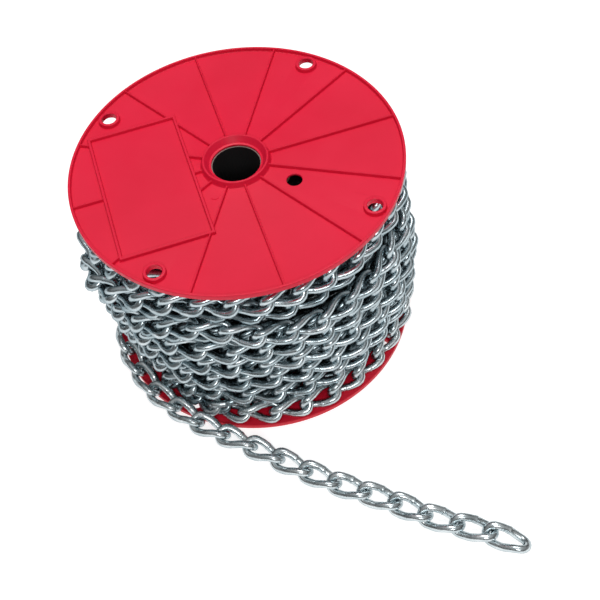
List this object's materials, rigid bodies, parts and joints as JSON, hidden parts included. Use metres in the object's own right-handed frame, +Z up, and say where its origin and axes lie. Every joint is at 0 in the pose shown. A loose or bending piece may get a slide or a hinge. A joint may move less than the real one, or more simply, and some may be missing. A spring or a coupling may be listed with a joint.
{
  "type": "reel of steel chain",
  "caption": "Moulded plastic reel standing on its end, wound with zinc-plated twist-link steel chain whose loose end lies on the floor.",
  "frame": {"origin": "on the floor, under the middle of the whole object in plan; the reel's axis stands at x = -0.0117, y = 0.0783", "axes": "+Z up along the reel's axis, -Y towards the loose end of the chain, +X to the right seen from the loose end"},
  "size_m": [0.3082, 0.423, 0.1925],
  "materials": {
    "red_plastic": "satin moulded polystyrene",
    "black_tube": "matt black",
    "barrel_board": "plain fibreboard",
    "zinc_steel": "bright zinc plate"
  },
  "bodies": {
    "root": {"top_flange": "red_plastic", "bottom_flange": "red_plastic", "arbor_tube": "black_tube", "core_barrel": "barrel_board", "inner_windings": "zinc_steel", "outer_winding": "zinc_steel", "lowest_turn": "zinc_steel", "tail_link_01": "zinc_steel", "tail_link_02": "zinc_steel", "tail_link_03": "zinc_steel", "tail_link_04": "zinc_steel", "tail_link_05": "zinc_steel", "tail_link_06": "zinc_steel", "tail_link_07": "zinc_steel", "tail_link_08": "zinc_steel", "tail_link_09": "zinc_steel", "tail_link_10": "zinc_steel", "tail_link_11": "zinc_steel", "tail_link_12": "zinc_steel", "tail_link_13": "zinc_steel", "tail_link_14": "zinc_steel", "tail_link_15": "zinc_steel", "tail_link_16": "zinc_steel", "tail_link_17": "zinc_steel"}
  },
  "joints": []
}
